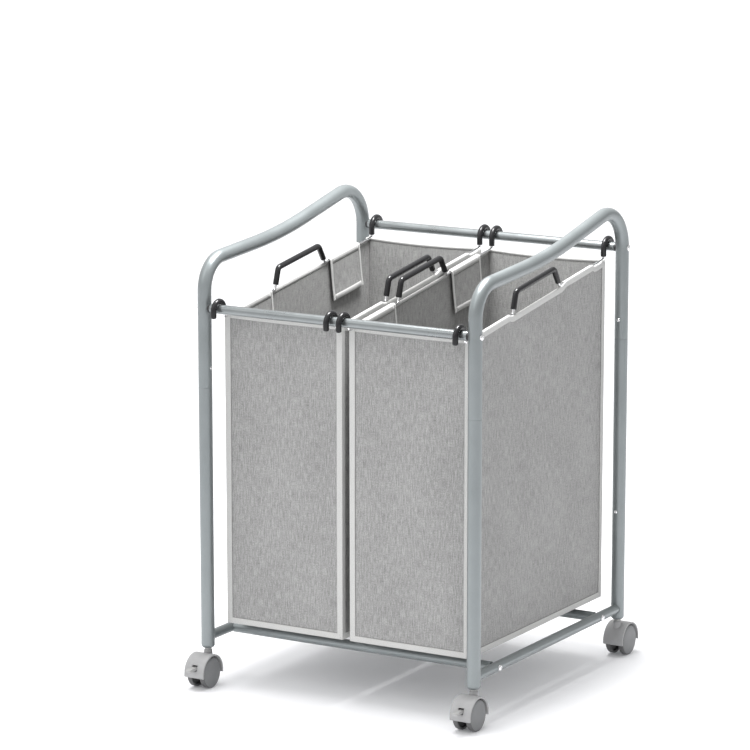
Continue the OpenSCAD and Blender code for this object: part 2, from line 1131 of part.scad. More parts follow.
handle_left();
handle_right();
post_front_left();
post_front_right();
post_rear_left();
post_rear_right();
rail_left();
rail_right();
top_bar_front();
top_bar_rear();
cross_bar_front();
cross_bar_rear();
top_bar_plugs();
cross_bar_plugs();
top_bolts();
cross_bolts();
joint_screws();
caster_sockets();
stem_front_left();
stem_front_right();
stem_rear_left();
stem_rear_right();
hood_front_left();
hood_front_right();
hood_rear_left();
hood_rear_right();
axle_front_left();
axle_front_right();
axle_rear_left();
axle_rear_right();
wheel_fl_left();
wheel_fl_right();
wheel_fr_left();
wheel_fr_right();
wheel_rl_left();
wheel_rl_right();
wheel_rr_left();
wheel_rr_right();
brake_lever_left();
brake_lever_right();
bag_left_shell();
bag_left_binding();
bag_left_flaps();
bag_left_wire_outer();
bag_left_wire_inner();
bag_left_grips();
bag_left_hooks();
bag_right_shell();
bag_right_binding();
bag_right_flaps();
bag_right_wire_outer();
bag_right_wire_inner();
bag_right_grips();
bag_right_hooks();
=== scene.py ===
import math

import bmesh
import bpy
import numpy as np
from mathutils import Matrix, Vector


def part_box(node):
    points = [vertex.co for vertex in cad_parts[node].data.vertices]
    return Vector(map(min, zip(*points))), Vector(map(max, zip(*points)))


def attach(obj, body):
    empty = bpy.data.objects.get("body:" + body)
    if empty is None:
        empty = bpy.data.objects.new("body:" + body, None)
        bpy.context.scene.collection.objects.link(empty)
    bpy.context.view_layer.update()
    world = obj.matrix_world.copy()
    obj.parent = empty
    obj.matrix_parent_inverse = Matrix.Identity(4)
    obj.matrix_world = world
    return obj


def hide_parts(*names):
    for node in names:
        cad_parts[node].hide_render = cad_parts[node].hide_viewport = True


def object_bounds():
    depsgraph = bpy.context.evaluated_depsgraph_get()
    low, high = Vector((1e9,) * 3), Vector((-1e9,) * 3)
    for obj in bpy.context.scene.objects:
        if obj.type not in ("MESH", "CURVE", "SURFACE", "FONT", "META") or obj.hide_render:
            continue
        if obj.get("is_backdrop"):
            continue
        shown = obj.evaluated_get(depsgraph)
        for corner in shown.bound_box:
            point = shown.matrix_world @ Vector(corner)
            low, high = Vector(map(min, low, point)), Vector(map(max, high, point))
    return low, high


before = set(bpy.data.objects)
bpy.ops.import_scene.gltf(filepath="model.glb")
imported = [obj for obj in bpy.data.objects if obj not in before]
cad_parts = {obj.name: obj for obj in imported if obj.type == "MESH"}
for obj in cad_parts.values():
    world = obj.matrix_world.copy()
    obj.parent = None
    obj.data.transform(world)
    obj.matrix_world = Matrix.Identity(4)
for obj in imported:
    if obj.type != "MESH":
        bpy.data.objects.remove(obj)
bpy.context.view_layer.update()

scene = bpy.context.scene
MM = 0.001
rng = np.random.default_rng(7)

# ---- sizes of the real cart, in mm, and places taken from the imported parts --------
TUBE_R, RAIL_R, BAR_R = 11.0, 8.0, 7.5
WIRE_R, COAT_R = 2.0, 4.7


def box(n):
    lo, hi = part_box(n)
    return np.array(lo) / MM, np.array(hi) / MM


def mid(n):
    lo, hi = box(n)
    return (lo + hi) / 2


# ---- materials ------------------------------------------------------------------


class Mat:
    """A small builder for node materials: m.n adds a node, m.l links two sockets."""

    def __init__(self, name, color, rough, metal=0.0, **more):
        self.m = bpy.data.materials.new(name)
        self.m.use_nodes = True
        self.t = self.m.node_tree
        self.b = self.t.nodes["Principled BSDF"]
        self.b.inputs["Base Color"].default_value = (*color, 1)
        self.b.inputs["Roughness"].default_value = rough
        self.b.inputs["Metallic"].default_value = metal
        for k, v in more.items():
            self.b.inputs[k.replace("_", " ")].default_value = v
        self.m.diffuse_color = (*color, 1)

    def n(self, kind, **inputs):
        node = self.t.nodes.new(kind)
        for k, v in inputs.items():
            if hasattr(node, k):
                setattr(node, k, v)
            else:
                node.inputs[k.replace("_", " ")].default_value = v
        return node

    def l(self, a, b):
        self.t.links.new(a, b)

    def coords(self, kind, scale):
        c = self.n("ShaderNodeTexCoord")
        m = self.n("ShaderNodeMapping")
        m.inputs["Scale"].default_value = scale
        self.l(c.outputs[kind], m.inputs["Vector"])
        return m.outputs["Vector"]

    def noise(self, vec, scale=1.0, detail=2.0, rough=0.5):
        n = self.n("ShaderNodeTexNoise")
        n.inputs["Scale"].default_value = scale
        n.inputs["Detail"].default_value = detail
        n.inputs["Roughness"].default_value = rough
        self.l(vec, n.inputs["Vector"])
        return n.outputs["Fac"]

    def math(self, op, a, b=None, c=None):
        n = self.n("ShaderNodeMath")
        n.operation = op
        for i, v in enumerate((a, b, c)):
            if v is None:
                continue
            if isinstance(v, (int, float)):
                n.inputs[i].default_value = v
            else:
                self.l(v, n.inputs[i])
        return n.outputs[0]

    def spread(self, v, lo, hi, to_lo, to_hi):
        n = self.n("ShaderNodeMapRange")
        for k, x in zip(("From Min", "From Max", "To Min", "To Max"), (lo, hi, to_lo, to_hi)):
            n.inputs[k].default_value = x
        self.l(v, n.inputs["Value"])
        return n.outputs["Result"]

    def ramp(self, fac, stops):
        r = self.n("ShaderNodeValToRGB")
        e = r.color_ramp.elements
        while len(e) < len(stops):
            e.new(0.5)
        for i, (p, c) in enumerate(stops):
            e[i].position = p
            e[i].color = (*c, 1)
        self.l(fac, r.inputs["Fac"])
        return r.outputs["Color"]

    def bump(self, height, distance, strength=1.0):
        b = self.n("ShaderNodeBump")
        b.inputs["Distance"].default_value = distance
        b.inputs["Strength"].default_value = strength
        self.l(height, b.inputs["Height"])
        self.l(b.outputs["Normal"], self.b.inputs["Normal"])


def painted(name, color, rough, metal, peel=0.35):
    """Metallic-grey powder coat: a very fine sparkle and a faint orange peel."""
    m = Mat(name, color, rough, metal)
    m.b.inputs["Coat Weight"].default_value = 0.18
    m.b.inputs["Coat Roughness"].default_value = 0.22
    v = m.coords("Object", (1, 1, 1))
    flakes = m.noise(v, 2600, 1.0)
    cloud = m.noise(v, 18, 3.0)
    both = m.math("MULTIPLY_ADD", flakes, 0.55, m.math("MULTIPLY", cloud, 0.45))
    lo = tuple(c * 0.90 for c in color)
    hi = tuple(min(1, c * 1.10) for c in color)
    m.l(m.ramp(both, [(0.35, lo), (0.65, hi)]), m.b.inputs["Base Color"])
    m.l(m.spread(cloud, 0.3, 0.7, rough - 0.04, rough + 0.05), m.b.inputs["Roughness"])
    m.bump(m.noise(v, 900, 2.0), 0.00002, peel)
    return m.m


def moulded(name, color, rough, grain=0.00003):
    """Moulded plastic with a fine spark-eroded grain."""
    m = Mat(name, color, rough)
    v = m.coords("Object", (1, 1, 1))
    cloud = m.noise(v, 60, 3.0)
    lo = tuple(c * 0.95 for c in color)
    hi = tuple(min(1, c * 1.05) for c in color)
    m.l(m.ramp(cloud, [(0.3, lo), (0.7, hi)]), m.b.inputs["Base Color"])
    m.bump(m.noise(v, 2200, 2.0), grain, 0.5)
    return m.m


def cloth_mat(name, color, contrast):
    """Plain-weave melange: light and dark threads both ways, slubs, a soft bump."""
    m = Mat(name, color, 0.95)
    m.b.inputs["Sheen Weight"].default_value = 0.12
    m.b.inputs["Sheen Roughness"].default_value = 0.5
    m.b.inputs["Specular IOR Level"].default_value = 0.12
    warp = m.noise(m.coords("UV", (520, 60, 1)), 1.0, 2.0)
    weft = m.noise(m.coords("UV", (70, 900, 1)), 1.0, 2.0)
    heather = m.noise(m.coords("UV", (640, 430, 1)), 1.0, 3.0, 0.75)
    blots = m.noise(m.coords("UV", (170, 120, 1)), 1.0, 2.0)
    cloud = m.noise(m.coords("UV", (14, 9, 1)), 1.0, 3.0)
    a = m.math("MULTIPLY_ADD", warp, 0.32, m.math("MULTIPLY", weft, 0.12))
    b = m.math("MULTIPLY_ADD", heather, 0.42, m.math("MULTIPLY", cloud, 0.08))
    mix = m.math("ADD", m.math("MULTIPLY_ADD", blots, 0.06, a), b)
    lo = tuple(c * (1 - contrast) for c in color)
    hi = tuple(min(1, c * (1 + contrast)) for c in color)
    m.l(m.ramp(mix, [(0.38, lo), (0.62, hi)]), m.b.inputs["Base Color"])
    # over-and-under of the threads, 0.55 mm apart
    uv = m.coords("UV", (math.pi / 0.00055,) * 2 + (1,))
    s = m.n("ShaderNodeSeparateXYZ")
    m.l(uv, s.inputs[0])
    su, sv = m.math("SINE", s.outputs["X"]), m.math("SINE", s.outputs["Y"])
    weave = m.math("MULTIPLY", su, sv)
    h = m.math("MULTIPLY_ADD", weave, 0.35, mix)
    m.bump(h, 0.00022, 0.8)
    return m.m


def tape_mat(name, color):
    """Woven binding: fine cross ribs and a row of stitches near its inner edge.
    U runs along the tape and V across it from 0 at the stitched edge, both in metres."""
    m = Mat(name, color, 0.85)
    m.b.inputs["Sheen Weight"].default_value = 0.2
    m.b.inputs["Specular IOR Level"].default_value = 0.25
    uv = m.coords("UV", (1, 1, 1))
    s = m.n("ShaderNodeSeparateXYZ")
    m.l(uv, s.inputs[0])
    u, v = s.outputs["X"], s.outputs["Y"]
    ribs = m.math("SINE", m.math("MULTIPLY", u, 2 * math.pi / 0.0009))
    speck = m.noise(m.coords("UV", (900, 700, 1)), 1.0, 2.0)
    off = m.math("ABSOLUTE", m.math("SUBTRACT", v, 0.0016))
    near = m.math("MAXIMUM", m.math("SUBTRACT", 1.0, m.math("MULTIPLY", off, 2200)), 0.0)
    dash = m.math("GREATER_THAN", m.math("SINE", m.math("MULTIPLY", u, 2 * math.pi / 0.0032)), -0.45)
    stitch = m.math("MULTIPLY", near, dash)
    tone = m.math("MULTIPLY_ADD", ribs, 0.06, speck)
    lo = tuple(c * 0.86 for c in color)
    hi = tuple(min(1, c * 1.10) for c in color)
    # painted shadow: the tape's stitched edge is darkened to a thin dark line, standing in for the shade
    # where the tape's edge meets the cloth
    tone = m.math("MULTIPLY", tone, m.spread(v, 0.0002, 0.0013, 0.0, 1.0))
    m.l(m.ramp(tone, [(0.0, tuple(c * 0.4 for c in color)), (0.3, lo), (0.7, hi)]), m.b.inputs["Base Color"])
    h = m.math("ADD", m.math("MULTIPLY", ribs, 0.18), m.math("MULTIPLY", stitch, 1.6))
    m.bump(m.math("ADD", h, speck), 0.00016, 0.8)
    return m.m


STEEL = painted("frame_silver_grey", (0.228, 0.25, 0.255), 0.36, 0.55)
BAR = painted("bar_silver", (0.235, 0.252, 0.256), 0.3, 0.75, 0.08)
CHROME = Mat("bright_zinc", (0.80, 0.80, 0.81), 0.16, 1.0).m
ZINC = painted("dull_zinc", (0.36, 0.36, 0.355), 0.42, 0.8)
WIRE = Mat("wire_nickel", (0.74, 0.74, 0.75), 0.2, 1.0).m
VINYL = moulded("black_vinyl", (0.014, 0.014, 0.015), 0.22, 0.00001)
VINYL.node_tree.nodes["Principled BSDF"].inputs["Specular IOR Level"].default_value = 0.32
DARK = moulded("black_plastic", (0.02, 0.02, 0.021), 0.5)
HOOD = moulded("caster_grey", (0.35, 0.35, 0.353), 0.42)
DISC = moulded("wheel_grey", (0.185, 0.189, 0.193), 0.46)
TYRE = moulded("tread_grey", (0.11, 0.11, 0.112), 0.6)
LEVER = moulded("lever_grey", (0.36, 0.36, 0.355), 0.42)
CLOTH = cloth_mat("bag_melange", (0.31, 0.309, 0.305), 0.38)
TAPE = tape_mat("binding_off_white", (0.53, 0.53, 0.52))

# ---- mesh helpers, all in mm -------------------------------------------------------


def piece(name, verts, faces, mat, body, slot, nodes=(), sharp=35, uvs=None):
    me = bpy.data.meshes.new(name)
    me.from_pydata([Vector(v) * MM for v in verts], [], faces)
    me.polygons.foreach_set("use_smooth", [True] * len(me.polygons))
    if uvs is not None:
        layer = me.uv_layers.new(name="UVMap")
        flat = [c for f in uvs for p in f for c in p]
        layer.data.foreach_set("uv", flat)
    me.update()
    me.set_sharp_from_angle(angle=math.radians(sharp))
    o = bpy.data.objects.new(name, me)
    scene.collection.objects.link(o)
    for one in mat if isinstance(mat, (list, tuple)) else [mat]:
        me.materials.append(one)
    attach(o, body)
    if nodes:
        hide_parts(*nodes)
    return o


def merge(parts):
    """Several (verts, faces) pairs as one."""
    vs, fs, base = [], [], 0
    for v, f in parts:
        vs.extend(v)
        fs.extend([tuple(i + base for i in q) for q in f])
        base += len(v)
    return vs, fs


FLAT_END = ((-1.6, 1.0), (-0.35, 1.0), (-0.1, 0.985), (0.0, 0.955))
ROUND_END = ((-3.2, 1.0), (-2.2, 0.97), (-1.3, 0.88), (-0.6, 0.74), (-0.15, 0.5), (0.0, 0.25))


def sweep(pts, r, seg=40, start=FLAT_END, end=FLAT_END, hint=(1, 0, 0)):
    """A round bar along a line of points, with shaped ends given as (offset, share of r)."""
    p = np.array(pts, float)
    t = np.gradient(p, axis=0)
    t[0], t[-1] = p[1] - p[0], p[-1] - p[-2]
    t /= np.linalg.norm(t, axis=1)[:, None]
    rows = []
    for d, k in reversed(start):
        rows.append((p[0] - t[0] * d, t[0], r * k))
    for i in range(1, len(p) - 1):
        rows.append((p[i], t[i], r))
    for d, k in end:
        rows.append((p[-1] + t[-1] * d, t[-1], r * k))
    n = np.array(hint, float)
    verts, faces = [], []
    ang = np.linspace(0, 2 * math.pi, seg, endpoint=False)
    for c, d, rad in rows:
        n = n - d * (n @ d)
        n /= np.linalg.norm(n)
        b = np.cross(d, n)
        for a in ang:
            verts.append(c + rad * (math.cos(a) * n + math.sin(a) * b))
    for i in range(len(rows) - 1):
        for j in range(seg):
            k = (j + 1) % seg
            faces.append((i * seg + j, i * seg + k, (i + 1) * seg + k, (i + 1) * seg + j))
    faces.append(tuple(range(seg - 1, -1, -1)))
    last = (len(rows) - 1) * seg
    faces.append(tuple(range(last, last + seg)))
    return verts, faces


def lathe(profile, origin, axis, seg=64):
    """Turns (radius, distance along axis) points round an axis; closes at radius 0."""
    a = Vector(axis).normalized()
    n = a.orthogonal().normalized()
    b = a.cross(n)
    o = Vector(origin)
    verts, faces, rings = [], [], []
    for r, d in profile:
        if r < 1e-6:
            rings.append([len(verts)])
            verts.append(o + a * d)
        else:
            ring = []
            for j in range(seg):
                t = 2 * math.pi * j / seg
                ring.append(len(verts))
                verts.append(o + a * d + (n * math.cos(t) + b * math.sin(t)) * r)
            rings.append(ring)
    for q, w in zip(rings, rings[1:]):
        for j in range(seg):
            k = (j + 1) % seg
            if len(q) == 1 and len(w) == 1:
                continue
            if len(q) == 1:
                faces.append((q[0], w[k], w[j]))
            elif len(w) == 1:
                faces.append((q[j], q[k], w[0]))
            else:
                faces.append((q[j], q[k], w[k], w[j]))
    return verts, faces


def walk(y, z, heading, moves, step=4.0):
    """Points (y, z) along straight runs and round turns; heading 0 is up, 90 towards +Y."""
    h = math.radians(heading)
    out = [(y, z)]
    for m in moves:
        if m[0] == "run":
            n = max(1, int(m[1] / 40))
            for i in range(n):
                y += math.sin(h) * m[1] / n
                z += math.cos(h) * m[1] / n
                out.append((y, z))
        else:
            _, r, deg, side = m
            n = max(2, int(abs(deg) / step) + 1)
            if r > 500:
                n = 10
            cy, cz = y + side * r * math.cos(h), z - side * r * math.sin(h)
            for i in range(n):
                h += side * math.radians(deg / n)
                y = cy - side * r * math.cos(h)
                z = cz + side * r * math.sin(h)
                out.append((y, z))
    return out


def at_x(x, yz):
    return [(x, y, z) for y, z in yz]


# ---- frame --------------------------------------------------------------------------

Y0 = float(mid("handle_left")[1])
BF, BR = mid("top_bar_front"), mid("top_bar_rear")
SPAN_Y = float(BR[1] - BF[1])
SLOPE = math.degrees(math.atan2(BR[2] - BF[2], SPAN_Y))
FOOT = float(box("post_front_left")[0][2])

R1, A1, L1, R2, A2, R3 = 50.0, 3.6, 100.0, 1075.0, 12.1, 62.5


def sin(d):
    return math.sin(math.radians(d))


def cos(d):
    return math.cos(math.radians(d))


L2 = (SPAN_Y - R1 * (1 - sin(A1)) - L1 * cos(A1) - R2 * (sin(A2) - sin(A1)) - R3 * (1 + sin(A2))) / cos(A2)
BEND_Z = FOOT + 580.0

for side in ("left", "right"):
    lo, hi = box("handle_" + side)
    x = float((lo[0] + hi[0]) / 2)
    z0 = float(lo[2])
    rear_seam = FOOT + 472.0
    top = walk(Y0 - SPAN_Y / 2, z0, 0, [
        ("run", BEND_Z - z0), ("turn", R1, 90 - A1, 1), ("run", L1), ("turn", R2, A2 - A1, -1),
        ("run", L2), ("turn", R3, 90 + A2, 1)], 3.0)
    top.append((top[-1][0], rear_seam))
    v, f = sweep(at_x(x, top), TUBE_R, 56)
    piece("tube_handle_" + side, v, f, STEEL, "frame", "frame_steel", ["handle_" + side])
    for end in ("front", "rear"):
        n = f"post_{end}_{side}"
        lo, hi = box(n)
        c = (lo + hi) / 2
        seam = z0 if end == "front" else rear_seam
        prof = [(0, lo[2] + 1.2), (6.6, lo[2] + 1.2), (6.9, lo[2] + 0.1), (7.6, lo[2]), (8.6, lo[2] + 0.5),
                (10.2, lo[2] + 2.3), (10.8, lo[2] + 3.4), (11, lo[2] + 5), (11, lo[2] + 7),
                (11, seam - 1.6), (11, seam - 0.35), (10.85, seam - 0.08), (10.6, seam), (10.2, seam + 0.3)]
        v, f = lathe(prof, (c[0], c[1], 0), (0, 0, 1))
        piece("tube_" + n, v, f, STEEL, "frame", "frame_steel", [n])
    n = "rail_" + side
    lo, hi = box(n)
    c = (lo + hi) / 2
    v, f = sweep([(c[0], lo[1], c[2]), (c[0], c[1], c[2]), (c[0], hi[1], c[2])], RAIL_R, 48)
    beads = []
    for s in (-1, 1):
        y = c[1] + s * (SPAN_Y / 2)
        ring = []
        for k in range(49):
            t = 2 * math.pi * k / 48
            # the joint line of a tube of radius 8 coming into a post of radius 11
            dx, dz = (RAIL_R + 0.35) * math.cos(t), (RAIL_R + 0.35) * math.sin(t)
            ring.append((c[0] + dx, y - s * math.sqrt(max(1, (TUBE_R + 0.2) ** 2 - dx * dx)), c[2] + dz))
        beads.append(sweep(ring, 0.9, 8, ((0, 1),), ((0, 1),), (0.3, 0.9, 0.2)))
    piece("tube_" + n, *merge([(v, f), *beads]), STEEL, "frame", "frame_steel", [n])

for end in ("front", "rear"):
    n = "cross_bar_" + end
    lo, hi = box(n)
    c = (lo + hi) / 2
    v, f = sweep([(lo[0] + 3, c[1], c[2]), c, (hi[0] - 3, c[1], c[2])], RAIL_R, 48, hint=(0, 0, 1))
    piece("tube_" + n, v, f, STEEL, "frame", "frame_steel", [n])
    n = "top_bar_" + end
    lo, hi = box(n)
    c = (lo + hi) / 2
    v, f = sweep([(lo[0], c[1], c[2]), c, (hi[0], c[1], c[2])], BAR_R, 56, hint=(0, 0, 1))
    piece("tube_" + n, v, f, BAR, "frame", "bar_steel", [n])

# ---- bolts and screws ------------------------------------------------------------------


def dome(r, h, drop):
    """Profile of a button head with a hex recess's rim; drop sinks its skirt to the tube."""
    out = [(0, h - 0.9), (1.25 if r > 4 else 0.8, h - 0.9), (1.35 if r > 4 else 0.9, h - 0.05)]
    for k in range(1, 9):
        a = math.radians(90 * k / 8)
        out.append((1.5 + (r - 1.5) * math.sin(a), 0.25 * h + 0.75 * h * math.cos(a)))
    return out + [(r, 0.05), (r - 0.3, -drop), (0, -drop)]


heads = []
for end, n in (("front", "top_bar_front"), ("rear", "top_bar_rear")):
    c = mid(n)
    for s in (-1, 1):
        x = float(mid("handle_left" if s < 0 else "handle_right")[0]) + s * TUBE_R
        heads.append(lathe(dome(4.75, 2.6, 1.3), (x, c[1], c[2]), (s, 0, 0), 40))
piece("bolt_heads_top", *merge(heads), CHROME, "frame", "bright_metal", ["top_bolts"])
heads = []
for end in ("front", "rear"):
    c = mid("cross_bar_" + end)
    for s in (-1, 1):
        x = float(mid("rail_left" if s < 0 else "rail_right")[0]) + s * RAIL_R
        heads.append(lathe(dome(4.75, 2.6, 1.6), (x, c[1], c[2]), (s, 0, 0), 40))
piece("bolt_heads_low", *merge(heads), CHROME, "frame", "bright_metal", ["cross_bolts"])

# ---- casters --------------------------------------------------------------------------

AXLE_Z = 25.0
CASTERS = [("front", "left", -1), ("front", "right", -1), ("rear", "left", 1), ("rear", "right", 1)]


def rounded_arc_profile(r_out, r_in, low):
    """Outline (y, z about the axle) of the hood's curved wall with rounded leg ends."""
    t = (r_out - r_in) / 2
    rm = (r_out + r_in) / 2
    a0 = math.asin((low + t) / rm)
    pts = []
    n = 60
    for i in range(n + 1):
        a = a0 + (math.pi - 2 * a0) * i / n
        pts.append((r_out * math.cos(a), r_out * math.sin(a)))
    far = math.pi - a0
    cy, cz = rm * math.cos(far), rm * math.sin(far)
    for k in range(1, 8):
        b = far + math.pi * k / 8
        pts.append((cy + t * math.cos(b), cz + t * math.sin(b)))
    for i in range(n + 1):
        a = math.pi - a0 - (math.pi - 2 * a0) * i / n
        pts.append((r_in * math.cos(a), r_in * math.sin(a)))
    cy, cz = rm * math.cos(a0), rm * math.sin(a0)
    for k in range(1, 8):
        b = a0 + math.pi + math.pi * k / 8
        pts.append((cy + t * math.cos(b), cz + t * math.sin(b)))
    return pts


def prism(outline, x0, x1, place):
    """Extrudes a (y, z) outline from x0 to x1; place maps (x, y, z) to the cart's frame."""
    n = len(outline)
    verts = [place(x, y, z) for x in (x0, x1) for y, z in outline]
    faces = [(i, (i + 1) % n, n + (i + 1) % n, n + i) for i in range(n)]
    faces += [tuple(range(n - 1, -1, -1)), tuple(range(n, 2 * n))]
    return verts, faces


def apply_mods(o):
    dg = bpy.context.evaluated_depsgraph_get()
    me = bpy.data.meshes.new_from_object(o.evaluated_get(dg))
    o.modifiers.clear()
    old = o.data
    o.data = me
    bpy.data.meshes.remove(old)


def plain(name, v, f):
    me = bpy.data.meshes.new(name)
    me.from_pydata([Vector(q) * MM for q in v], [], f)
    bm = bmesh.new()
    bm.from_mesh(me)
    bmesh.ops.recalc_face_normals(bm, faces=bm.faces)
    bm.to_mesh(me)
    bm.free()
    o = bpy.data.objects.new(name, me)
    scene.collection.objects.link(o)
    return o


def boolean(o, other, op):
    m = o.modifiers.new("b", "BOOLEAN")
    m.operation, m.object, m.solver = op, other, "EXACT"
    apply_mods(o)
    bpy.data.objects.remove(other)


def soften(o, width, segments=3, angle=40, sharp=40):
    m = o.modifiers.new("edge", "BEVEL")
    m.width, m.segments, m.limit_method = width * MM, segments, "ANGLE"
    m.angle_limit = math.radians(angle)
    m.harden_normals = False
    apply_mods(o)
    o.data.polygons.foreach_set("use_smooth", [True] * len(o.data.polygons))
    o.data.set_sharp_from_angle(angle=math.radians(sharp))


def cuboid(x0, x1, y0, y1, z0, z1, place):
    v = [place(x, y, z) for x in (x0, x1) for y in (y0, y1) for z in (z0, z1)]
    f = [(0, 1, 3, 2), (4, 6, 7, 5), (0, 4, 5, 1), (2, 3, 7, 6), (0, 2, 6, 4), (1, 5, 7, 3)]
    return v, f


for end, side, sy in CASTERS:
    c = f"{end}_{side}"
    body = "caster_" + c
    stem = mid("stem_" + c)
    hub = mid("axle_" + c)
    X, Y, YH = float(stem[0]), float(stem[1]), float(hub[1])

    def place(x, y, z, X=X, YH=YH, sy=sy):
        # local y points from the stem towards the wheels' side, x follows the turn
        return Vector((X - sy * x, YH + sy * y, AXLE_Z + z))

    # curved wall
    wall = plain("hood_wall_" + c, *prism(rounded_arc_profile(30.0, 27.2, -4.5), -18, 18, place))
    if end == "front":
        boolean(wall, plain("cut", *cuboid(-4.9, 4.9, 18, 34, 6.2, 16.2, place)), "DIFFERENCE")
    soften(wall, 0.7)
    wall.data.materials.append(HOOD)
    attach(wall, body)
    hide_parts("hood_" + c)
    # web between the wheels, with the axle's boss
    web = [(27.4 * math.cos(a), 27.4 * math.sin(a)) for a in np.linspace(-0.12, math.pi + 0.12, 50)]
    if end == "front":
        web = [(min(y, 12.0), z) if z < 17.5 else (y, z) for y, z in web]
    webo = plain("hood_web_" + c, *prism(web, -3.5, 3.5, place))
    soften(webo, 0.4)
    webo.data.materials.append(HOOD)
    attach(webo, body)
    # stem boss that leans into the hood's crown
    tz = float(box("hood_" + c)[1][2])
    prof = [(4.1, tz - 2), (4.2, tz - 0.3), (4.6, tz), (6.1, tz), (6.6, tz - 0.35), (6.8, tz - 1.0),
            (6.95, tz - 6), (7.6, tz - 12), (8.4, tz - 17), (8.4, tz - 22)]
    bv, bf = lathe(prof, (X, Y, 0), (0, 0, 1), 48)
    piece("hood_boss_" + c, bv, bf, HOOD, body, "caster_plastic")
    # axle and wheels
    k = end[0] + side[0]
    pin = [(0, -13.6), (2.9, -13.6), (3, -13.4), (3, 13.4), (2.9, 13.6), (0, 13.6)]
    v, f = lathe(pin, (X, YH, AXLE_Z), (1, 0, 0), 32)
    piece("pin_axle_" + c, v, f, CHROME, body, "bright_metal", ["axle_" + c])
    for w, s in (("left", -1), ("right", 1)):
        n = f"wheel_{k}_{w}"
        tread = [(3.1, 4.2), (5.4, 4.2), (5.4, 13.0), (21.4, 13.0), (21.6, 12.6), (21.6, 8.0), (22.4, 7.6),
                 (24.0, 7.65), (24.7, 7.9), (25.0, 8.6), (25.0, 14.6), (24.85, 15.3), (24.4, 15.9),
                 (23.7, 16.25)]
        v, f = lathe(tread, (X, YH, AXLE_Z), (s, 0, 0), 96)
        disc = [(23.75, 16.2), (23.3, 16.42), (22.9, 16.38), (22.7, 16.22), (22.45, 16.2), (22.25, 16.45),
                (21.9, 16.72), (21.2, 16.86), (12, 16.9), (0, 16.9)]
        dv, df = lathe(disc, (X, YH, AXLE_Z), (s, 0, 0), 96)
        piece("tread_" + n, v, f, TYRE, n, "wheel_plastic", [n], 50)
        piece("disc_" + n, dv, df, DISC, n, "wheel_plastic", (), 50)
    if end == "front":
        b = "brake_lever_" + side
        lo, hi = box(b)
        zl = float((lo[2] + hi[2]) / 2) - 0.3 - AXLE_Z
        outline = [(15.0, -2.4), (24.0, -2.4), (40.5, -2.3), (44.4, -2.0), (45.6, -1.2), (46.0, 0.0),
                   (45.7, 1.3), (44.8, 2.2), (43.0, 2.4)]
        y = 41.2
        for i in range(5):
            outline += [(y, 2.4), (y - 0.25, 3.0), (y - 0.95, 3.0), (y - 1.2, 2.4)]
            y -= 2.05
        outline += [(24.0, 2.1), (15.0, 2.1)]
        outline = [(q, z + zl) for q, z in outline]
        lev = plain("lever_" + side, *prism(outline, -4.5, 4.5, place))
        soften(lev, 0.35, 2, 50)
        lev.data.materials.append(LEVER)
        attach(lev, b)
        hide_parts(b)

# stems and collars
for end, side, sy in CASTERS:
    c = f"{end}_{side}"
    lo, hi = box("stem_" + c)
    X, Y = float((lo[0] + hi[0]) / 2), float((lo[1] + hi[1]) / 2)
    top = FOOT - 0.2
    prof = [(0, lo[2]), (4, lo[2]), (4, top - 3.0), (5.2, top - 3.0), (5.6, top - 2.6), (5.6, top - 0.4),
            (5.2, top), (4, top), (4, hi[2] - 1), (3.4, hi[2]), (0, hi[2])]
    v, f = lathe(prof, (X, Y, 0), (0, 0, 1), 40)
    piece("pin_stem_" + c, v, f, ZINC, "frame", "bright_metal", ["stem_" + c])

# ---- bags -------------------------------------------------------------------------------

HOOK_R = 15.0
HOOK_LOW = HOOK_R - BAR_R - COAT_R - 0.15
DROPS = {-1: 9.5, 1: 6.0}
WIRE_MID = (BF[2] + BR[2]) / 2 - 17.5
LEG_Y = SPAN_Y / 2 - HOOK_R
TAN = math.tan(math.radians(SLOPE))
BEND = 5.0


def wire_z(y):
    """Height of the wire's centre line at a distance y from the cart's middle."""
    return WIRE_MID + y * TAN


def cut(r, deg):
    return r * math.tan(math.radians(deg / 2))


GRIP_RISE, GRIP_TOP, GRIP_BASE, GRIP_R = 33.0, 63.0, 78.5, 9.0
GT = math.degrees(math.atan2(GRIP_RISE, GRIP_BASE - GRIP_TOP))
GL = GRIP_RISE / sin(GT)
FT, RT = 90 + SLOPE, 90 - SLOPE
F_LEG = BF[2] - HOOK_LOW - wire_z(-LEG_Y) - cut(BEND, FT)
R_LEG = BR[2] - HOOK_LOW - wire_z(LEG_Y) - cut(BEND, RT)
HALF = LEG_Y / cos(SLOPE)
LEG_RUN = GL - cut(BEND, GT) - cut(GRIP_R, GT)
TOP_RUN = 2 * GRIP_TOP - 2 * cut(GRIP_R, GT)


def wire_line():
    return walk(-SPAN_Y / 2 - HOOK_R, BF[2] - HOOK_LOW - DROPS[-1], 0, [
        ("run", DROPS[-1]), ("turn", HOOK_R, 180, 1), ("run", F_LEG), ("turn", BEND, FT, -1),
        ("run", HALF - cut(BEND, FT) - GRIP_BASE - cut(BEND, GT)), ("turn", BEND, GT, -1), ("run", LEG_RUN),
        ("turn", GRIP_R, GT, 1), ("run", TOP_RUN), ("turn", GRIP_R, GT, 1), ("run", LEG_RUN),
        ("turn", BEND, GT, -1),
        ("run", HALF - cut(BEND, RT) - GRIP_BASE - cut(BEND, GT)), ("turn", BEND, RT, -1), ("run", R_LEG),
        ("turn", HOOK_R, 180, 1), ("run", DROPS[1])], 8.0)


